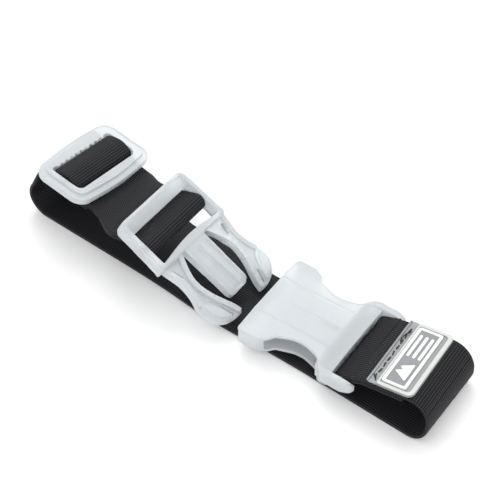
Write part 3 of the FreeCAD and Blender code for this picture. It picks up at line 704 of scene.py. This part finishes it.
def label():
    """A clear base with a sewn hem, a raised white border round a grey field, and a plain mark."""

    def rim(x0, x1, inset, corners=0.4, sewn=0.4):
        near, far = -LABEL_NEAR + inset, LABEL_FAR - inset
        return outline((x0, near, sewn), (x1, near, corners), (x1, far, corners), (x0, far, sewn))

    length, e = LABEL_LENGTH, 0.22
    hem = soft_plate("label_hem", [rim(e, HEM - 0.02, e, 0.1, 1.2)], 0.12, 0.6, 0.2)
    ridge = soft_plate("label_hem_ridge", [rim(0.3, 0.8, 0.35, 0.2, 0.2)], 0.6, 1.05, 0.2)
    base_edge = rim(HEM + e, length - e, e, 2.8, 0.1)
    base = soft_plate("label_base_moulding", [base_edge], 0.12, 0.85, 0.2)
    outer = rim(HEM + 0.3, length - 0.45, 0.45, 2.6, 0.5)
    inner = rim(HEM + 0.8, length - 1.9, 1.6, 1.8, 0.5)
    raised = soft_plate("label_outer_rim", [outer, inner], 0.86, 1.35, 0.2)
    x0, x1, b = HEM + 1.2, length - 4.0, 0.18
    border_outer = rim(x0 + b, x1 - b, 2.4 + b, 0.7, 0.7)
    border_inner = rim(x0 + 1.3 - b, x1 - 1.3 + b, 3.7 - b, 0.3, 0.3)
    border = soft_plate("label_white_border", [border_outer, border_inner], 0.7, 1.62, b)
    field = soft_plate("label_grey_field", [rim(x0 + 0.6, x1 - 0.6, 3.0, 0.3, 0.3)], 0.6, 1.3, 0.05)
    middle = (x0 + x1) / 2
    peaks = [(2.7, -12.4, 0.2), (-3.0, -8.8, 0.3), (-0.4, -7.2, 0.3)]
    peaks += [(-2.1, -5.9, 0.3), (2.7, -2.9, 0.2)]
    marks = [[(middle + x, y, radius) for x, y, radius in peaks]]
    for x in (middle - 2.5, middle, middle + 2.5):
        near, far = x - BAR_WIDTH / 2, x + BAR_WIDTH / 2
        marks.append([(near, 0.2, 0.5), (far, 0.2, 0.5), (far, 13.2, 0.5), (near, 13.2, 0.5)])
    mark = soft_plate("label_white_mark", [outline(*corners) for corners in marks], 1.1, 1.58, 0.1)
    for piece in (hem, ridge):
        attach(piece, "strap")
    for piece in (base, raised, border, field, mark):
        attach(piece, "label")
    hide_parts("label_hem_strip")
    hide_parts("label_base")
    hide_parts("label_border")
    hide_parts("label_field")
    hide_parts("label_mark")
    return [hem, ridge, base], [raised], [border, mark], [field]


def stitches():
    """Loose hand-tight stitches of black thread along the hem, with one long end."""
    curve = bpy.data.curves.new("label_thread", "CURVE")
    curve.dimensions, curve.bevel_depth, curve.bevel_resolution = "3D", 0.26, 3
    x = STITCH_LINE
    starts = [-16.2 + STITCH_PITCH * i for i in range(9)]
    shifts = [0.5, -0.2, 0.15, -0.1, 0.25, -0.15, 0.1, 0.3, -0.2]
    for start, shift in zip(starts, shifts):
        points = [
            (x + shift, start, 0.35),
            (x + shift * 0.6, start + 0.5, 0.95),
            (x - shift * 0.4, start + 1.3, 1.05),
            (x - shift * 0.5, start + 2.2, 0.92),
            (x - shift, start + 2.8, 0.35),
        ]
        add_spline(curve, points)
    long_end = [(2.0, 6.5, 0.4), (1.6, 7.4, 1.1), (1.9, 9.6, 1.5)]
    long_end += [(2.6, 11.8, 1.35), (3.2, 13.2, 0.9), (3.0, 13.9, 0.4)]
    add_spline(curve, long_end)
    add_spline(curve, [(3.3, -16.9, 0.4), (2.7, -15.6, 1.2), (1.9, -15.2, 1.2), (1.3, -14.2, 0.8)])
    mesh = curve_mesh(curve)
    mesh.transform(place("crest"))
    bm = bmesh.new()
    bm.from_mesh(mesh)
    made = finished("label_thread", bm)
    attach(made, "strap")
    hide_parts("label_stitches")
    return made


def add_spline(curve, points):
    """Adds one smooth length of thread to a curve."""
    spline = curve.splines.new("NURBS")
    spline.points.add(len(points) - 1)
    for point, corner in zip(spline.points, points):
        point.co = (*corner, 1)
    spline.use_endpoint_u = True
    spline.order_u = 3
    spline.resolution_u = 6


# ---- materials ----------------------------------------------------------------------------------


def linear(colour):
    """An sRGB hex colour as the linear red, green, blue and alpha that nodes take."""
    channels = [int(colour[i : i + 2], 16) / 255 for i in (1, 3, 5)]
    return [c / 12.92 if c <= 0.04045 else ((c + 0.055) / 1.055) ** 2.4 for c in channels] + [1.0]


def material(name, **values):
    """A material with these values on its shader's sockets, and that shader."""
    made = bpy.data.materials.new(name)
    made.use_nodes = True
    shader = made.node_tree.nodes["Principled BSDF"]
    for socket_name, value in values.items():
        shader.inputs[socket_name.replace("_", " ")].default_value = value
    return made, shader


def add(made, kind, inputs=None, output=0, **settings):
    """Adds one node with its settings, and gives one of its outputs. An input is a value, or
    another node's output to link."""
    node = made.node_tree.nodes.new("ShaderNode" + kind)
    for key, value in settings.items():
        setattr(node, key, value)
    for key, value in (inputs or {}).items():
        if isinstance(value, bpy.types.NodeSocket):
            made.node_tree.links.new(value, node.inputs[key])
        else:
            node.inputs[key].default_value = value
    return node.outputs[output]


def link(made, output, shader, socket_name):
    """Puts a node's output on one of the shader's sockets."""
    made.node_tree.links.new(output, shader.inputs[socket_name])


# a Mix node's colour inputs and output, which share their names with its plain numbers'
COLOUR_A, COLOUR_B, COLOUR_OUT = 6, 7, 2


def webbing_material():
    """Woven polypropylene webbing, black from its dye. Outside, each rib across it is a row of
    short floats, so it looks dotted; inside, fine lines run along it. On both faces the raised
    threads are painted lighter as painted highlights, and the hollows between them darker as
    painted shade. Thread is slightly shiny."""
    made, shader = material(
        "woven_polypropylene_webbing", Roughness=0.6, IOR=1.49, Specular_IOR_Level=0.2
    )
    weave = add(made, "UVMap", uv_map="weave")
    along, across, _ = add(made, "SeparateXYZ", {0: weave}).node.outputs
    # one wave along the strap for each rib, and one across it for each float
    waves = []
    for way in (along, across):
        turns = add(made, "Math", {0: way, 1: math.tau / RIB_PITCH}, operation="MULTIPLY")
        waves.append(add(made, "Math", {0: turns}, operation="COSINE"))
    rib = add(made, "Math", {0: waves[0], 1: 0.5, 2: 0.5}, operation="MULTIPLY_ADD")
    float_ends = add(made, "Math", {0: waves[1], 1: 0.5, 2: 0.5}, operation="MULTIPLY_ADD")
    outside = add(made, "Math", {0: rib, 1: float_ends}, operation="MULTIPLY")
    inside = add(made, "Math", {0: waves[1], 1: 0.3, 2: 0.3}, operation="MULTIPLY_ADD")
    outer = add(made, "Attribute", output="Fac", attribute_name="outer")
    height = add(made, "Mix", {0: outer, 2: inside, 3: outside}, data_type="FLOAT")
    # wear in patches of about 8 mm: the weave map is in millimetres
    patches = add(made, "TexNoise", {"Vector": weave, "Scale": 0.12, "Detail": 3.0})
    worn = add(made, "Math", {0: patches, 1: 0.5, 2: 0.75}, operation="MULTIPLY_ADD")
    # the raised threads painted lighter as painted highlights and the hollows darker as painted
    # shade, varied by the wear patches
    painted_highlight_and_wear = add(made, "Math", {0: height, 1: worn}, operation="MULTIPLY")
    # 030304 is painted shade in the hollows, and #3c3d42 is a painted highlight on the raised
    # threads
    colours = {0: painted_highlight_and_wear, COLOUR_A: linear("#030304"), COLOUR_B: linear("#3c3d42")}
    dye_and_painted_highlights = add(made, "Mix", colours, COLOUR_OUT, data_type="RGBA")
    link(made, dye_and_painted_highlights, shader, "Base Color")
    bump = add(made, "Bump", {"Strength": 0.7, "Distance": 0.16 * MM, "Height": height})
    link(made, bump, shader, "Normal")
    return made


def frosted_plastic():
    """Injection-moulded polypropylene with a frosted skin: milky, slightly blue where it is thick,
    and translucent, so that dark webbing behind it shows as grey."""
    made, shader = material(
        "moulded_frosted_polypropylene",
        Roughness=0.36,
        IOR=1.49,
        Transmission_Weight=0.5,
        Subsurface_Weight=0.3,
        Subsurface_Radius=(1.0, 1.0, 1.0),
        Subsurface_Scale=2.5 * MM,
    )
    spot = add(made, "TexCoord", output="Object")
    cloud = add(made, "TexNoise", {"Vector": spot, "Scale": 1 / (14 * MM), "Detail": 2.0})
    colours = {0: cloud, COLOUR_A: linear("#e4ebef"), COLOUR_B: linear("#f3f7f8")}
    milky = add(made, "Mix", colours, COLOUR_OUT, data_type="RGBA")
    link(made, milky, shader, "Base Color")
    grain = add(made, "TexNoise", {"Vector": spot, "Scale": 1 / (0.5 * MM), "Detail": 2.0})
    bump = add(made, "Bump", {"Strength": 0.12, "Distance": 0.05 * MM, "Height": grain})
    link(made, bump, shader, "Normal")
    return made


def soft_pvc(name, low, high, rough, through=0.0, flow=0.15):
    """Soft PVC cast in an open mould: a smooth, slightly oily skin with faint flow marks."""
    made, shader = material(name, Roughness=rough, IOR=1.53, Transmission_Weight=through)
    spot = add(made, "TexCoord", output="Object")
    cloud = add(made, "TexNoise", {"Vector": spot, "Scale": 1 / (5 * MM), "Detail": 3.0})
    colours = {0: cloud, COLOUR_A: linear(low), COLOUR_B: linear(high)}
    cast = add(made, "Mix", colours, COLOUR_OUT, data_type="RGBA")
    link(made, cast, shader, "Base Color")
    bump = add(made, "Bump", {"Strength": flow, "Distance": 0.06 * MM, "Height": cloud})
    link(made, bump, shader, "Normal")
    return made


def thread_material():
    """Twisted polyester sewing thread, black, with a dull shine on each turn, partly from its
    surface and partly painted into its colour as lighter diagonal bands of painted sheen.
    """
    made, shader = material("twisted_polyester_thread", Roughness=0.5, IOR=1.54)
    spot = add(made, "TexCoord", output="Object")
    bands = {"Vector": spot, "Scale": 1 / (2.4 * MM), "Distortion": 1.0}
    # lighter diagonal bands: painted sheen on each turn of the thread
    painted_sheen_bands = add(made, "TexWave", bands, bands_direction="DIAGONAL")
    colours = {0: painted_sheen_bands, COLOUR_A: linear("#09090a"), COLOUR_B: linear("#2c2c30")}
    spun_with_painted_sheen = add(made, "Mix", colours, COLOUR_OUT, data_type="RGBA")
    link(made, spun_with_painted_sheen, shader, "Base Color")
    return made


def finish_with(pieces, made):
    """Gives pieces a material."""
    for piece in pieces:
        piece.data.materials.clear()
        piece.data.materials.append(made)


# ---- studio -------------------------------------------------------------------------------------


def studio():
    """A pale floor, two soft lamps, a pale surrounding light, and whites shown as white."""
    bm = bmesh.new()
    bmesh.ops.create_grid(bm, x_segments=1, y_segments=1, size=3.0)
    floor = finished("floor", bm)
    paper, shader = material("matte_white_paper", Roughness=0.9)
    shader.inputs["Base Color"].default_value = linear("#ffffff")
    floor.data.materials.append(paper)
    world = bpy.data.worlds.new("studio")
    bpy.context.scene.world = world
    world.use_nodes = True
    around = world.node_tree.nodes["Background"].inputs
    around["Color"].default_value, around["Strength"].default_value = linear("#ffffff"), 1.08
    bpy.context.scene.view_settings.view_transform = "Standard"
    lamps = (("key", (-0.45, 0.5, 0.9), 0.7, 3.5), ("fill", (0.6, -0.6, 0.6), 0.8, 0.8))
    for name, spot, width, power in lamps:
        light = bpy.data.lights.new(name, "AREA")
        light.size, light.energy = width, power
        lamp = bpy.data.objects.new(name, light)
        lamp.location = spot
        toward_strap = Vector((0, 0, 0)) - lamp.location
        lamp.rotation_euler = toward_strap.to_track_quat("-Z", "Y").to_euler()
        bpy.context.scene.collection.objects.link(lamp)


def camera():
    """A long lens, from the right and above, that looks down on the middle of the strap."""
    azimuth, elevation = math.radians(37.61), math.radians(48.208)
    distance, lens, sensor = 601.84 * MM, 98.66, 36.0
    target = Vector((-11.0, 22.5, 0.0)) * MM
    flat = math.cos(elevation)
    back = Vector((math.sin(azimuth) * flat, -math.cos(azimuth) * flat, math.sin(elevation)))
    data = bpy.data.cameras.new("camera")
    data.lens, data.sensor_width = lens, sensor
    data.clip_start, data.clip_end = 0.01, 20
    seen = bpy.data.objects.new("camera", data)
    seen.location = target + back * distance
    seen.rotation_euler = back.to_track_quat("Z", "Y").to_euler()
    bpy.context.scene.collection.objects.link(seen)
    bpy.context.scene.camera = seen


camera()
studio()
finish_with(strap(), webbing_material())
frosted = [
    slider(),
    plug(),
    arm("left_latch_arm", "left_arm", 1),
    arm("right_latch_arm", "right_arm", -1),
    socket(),
]
finish_with(frosted, frosted_plastic())
clear, milky, white, grey = label()
clear_pvc = soft_pvc("cast_clear_pvc", "#a2a6a8", "#b2b6b7", 0.25, 0.4, 0.05)
milky_pvc = soft_pvc("cast_milky_pvc", "#d0d2cf", "#dadcd8", 0.32, 0.15, 0.05)
finish_with(clear, clear_pvc)
finish_with(milky, milky_pvc)
finish_with(white, soft_pvc("cast_white_pvc", "#e6e7e4", "#eff0ed", 0.45))
finish_with(grey, soft_pvc("cast_grey_pvc", "#7d7f82", "#94969a", 0.5))
finish_with([stitches()], thread_material())
